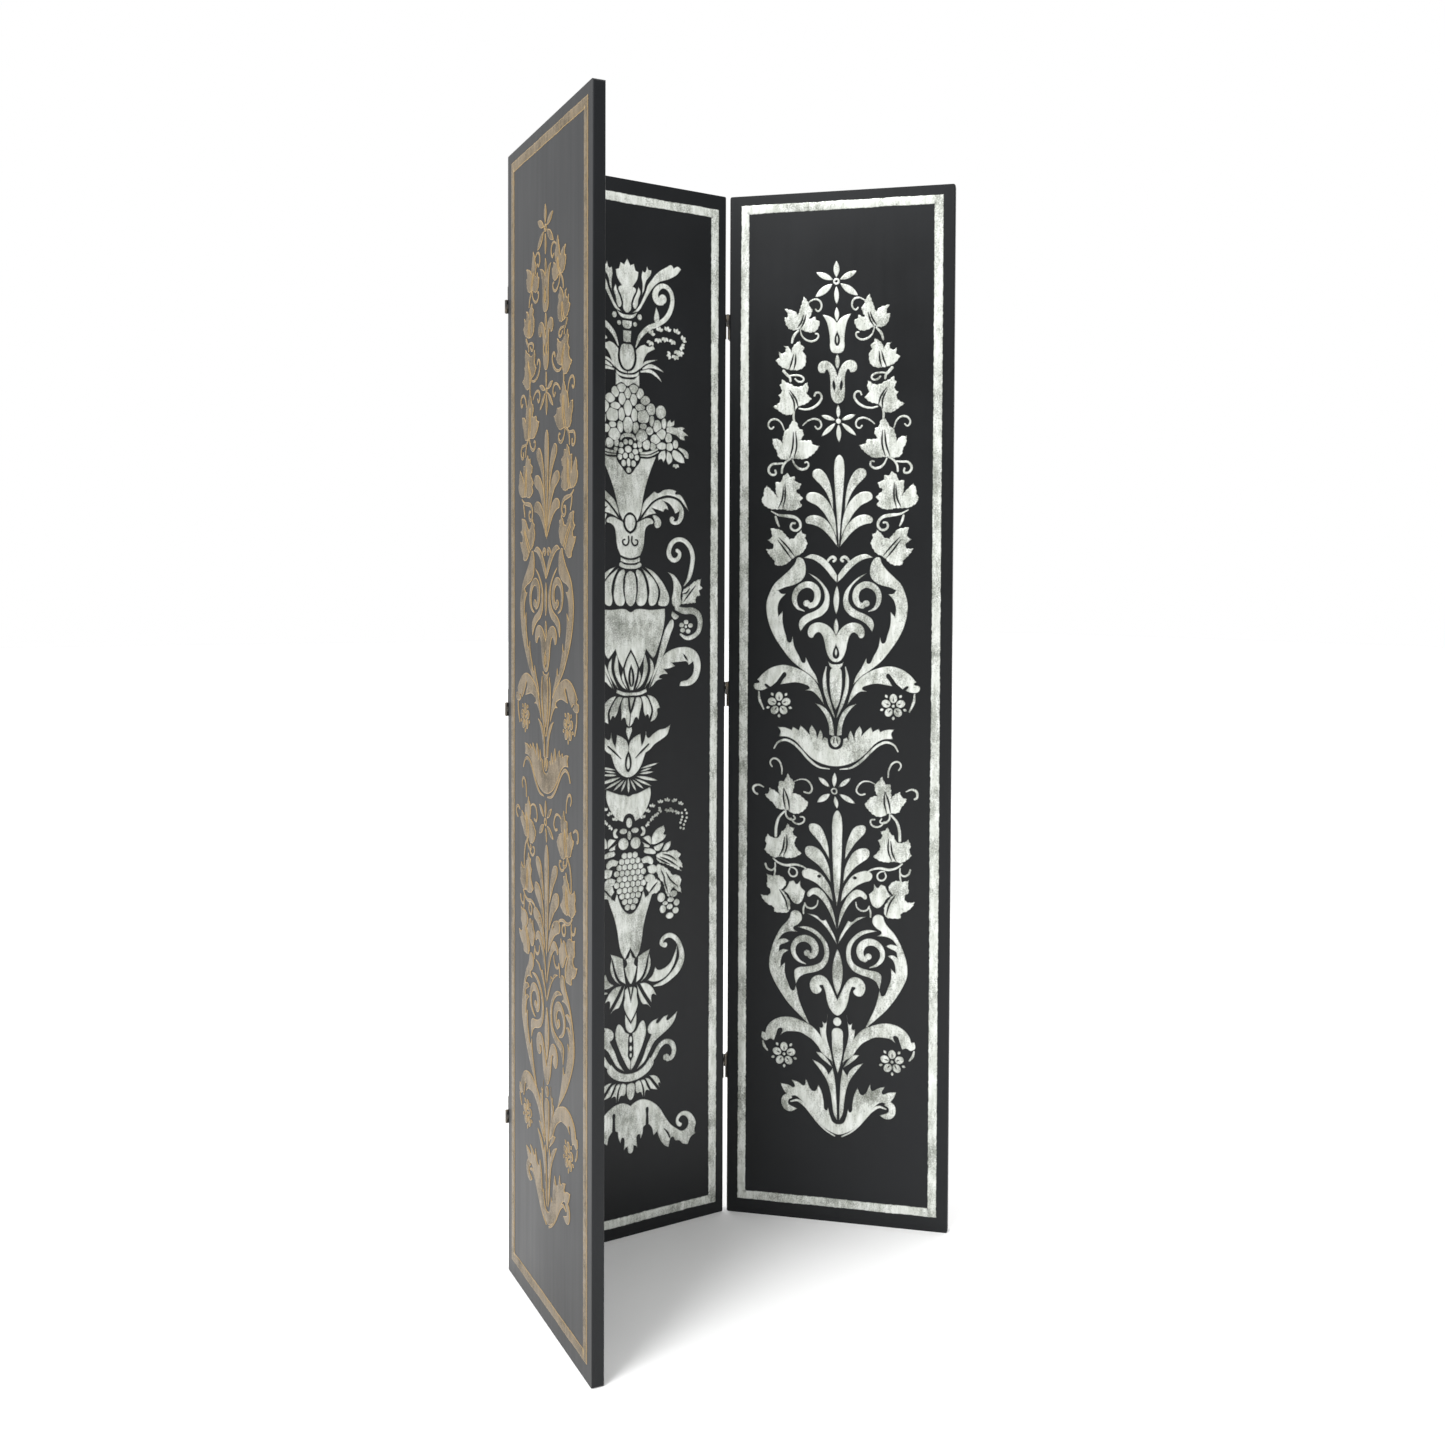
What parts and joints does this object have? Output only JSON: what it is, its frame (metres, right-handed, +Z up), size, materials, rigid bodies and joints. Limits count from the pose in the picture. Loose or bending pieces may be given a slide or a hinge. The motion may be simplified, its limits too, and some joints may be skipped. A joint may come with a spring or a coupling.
{
  "type": "folding screen",
  "caption": "Free-standing folding screen of tall flat lacquered panels with leafed relief on both faces, joined by two-pin hinges that fold either way.",
  "frame": {"origin": "middle of the centre panel's foot", "axes": "+X along the centre panel, -Y out of its silver face, +Z up"},
  "size_m": [0.7667, 0.4195, 1.83],
  "materials": {
    "black_lacquer": "black satin lacquer",
    "silver_leaf": "silver leaf over gesso, brushed and patinated",
    "gold_leaf": "gold leaf over gesso, dulled and patinated",
    "hinge_metal": "dark bronzed"
  },
  "bodies": {
    "centre_panel": {"centre_board": "black_lacquer", "centre_left_screws": "hinge_metal", "centre_right_screws": "hinge_metal", "centre_silver_border": "silver_leaf", "centre_gold_border": "gold_leaf", "centre_silver_relief": "silver_leaf", "centre_gold_relief": "gold_leaf", "left_top_inner_leaf": "hinge_metal", "left_middle_inner_leaf": "hinge_metal", "left_bottom_inner_leaf": "hinge_metal", "right_top_inner_leaf": "hinge_metal", "right_middle_inner_leaf": "hinge_metal", "right_bottom_inner_leaf": "hinge_metal"},
    "left_links": {"left_top_link": "hinge_metal", "left_top_front_pin": "hinge_metal", "left_top_back_pin": "hinge_metal", "left_middle_link": "hinge_metal", "left_middle_front_pin": "hinge_metal", "left_middle_back_pin": "hinge_metal", "left_bottom_link": "hinge_metal", "left_bottom_front_pin": "hinge_metal", "left_bottom_back_pin": "hinge_metal"},
    "left_panel": {"left_board": "black_lacquer", "left_screws": "hinge_metal", "left_silver_border": "silver_leaf", "left_gold_border": "gold_leaf", "left_silver_relief": "silver_leaf", "left_gold_relief": "gold_leaf", "left_top_outer_leaf": "hinge_metal", "left_middle_outer_leaf": "hinge_metal", "left_bottom_outer_leaf": "hinge_metal"},
    "right_links": {"right_top_link": "hinge_metal", "right_top_front_pin": "hinge_metal", "right_top_back_pin": "hinge_metal", "right_middle_link": "hinge_metal", "right_middle_front_pin": "hinge_metal", "right_middle_back_pin": "hinge_metal", "right_bottom_link": "hinge_metal", "right_bottom_front_pin": "hinge_metal", "right_bottom_back_pin": "hinge_metal"},
    "right_panel": {"right_board": "black_lacquer", "right_screws": "hinge_metal", "right_silver_border": "silver_leaf", "right_gold_border": "gold_leaf", "right_silver_relief": "silver_leaf", "right_gold_relief": "gold_leaf", "right_top_outer_leaf": "hinge_metal", "right_middle_outer_leaf": "hinge_metal", "right_bottom_outer_leaf": "hinge_metal"}
  },
  "joints": [
    {"name": "left_front_fold", "type": "hinge", "parent": "centre_panel", "child": "left_links", "pos_m": [-0.202, -0.011, 0.942], "axis": [0, 0, 1], "range_deg": [-83.5, 96.5]},
    {"name": "left_back_fold", "type": "hinge", "parent": "left_links", "child": "left_panel", "pos_m": [-0.22386, -0.00851, 0.942], "axis": [0, 0, -1], "range_deg": [0, 90]},
    {"name": "right_front_fold", "type": "hinge", "parent": "centre_panel", "child": "right_links", "pos_m": [0.202, -0.011, 0.942], "axis": [0, 0, -1], "range_deg": [-45, 45]},
    {"name": "right_back_fold", "type": "hinge", "parent": "right_links", "child": "right_panel", "pos_m": [0.21756, 0.00456, 0.942], "axis": [0, 0, 1], "range_deg": [0, 180]}
  ]
}
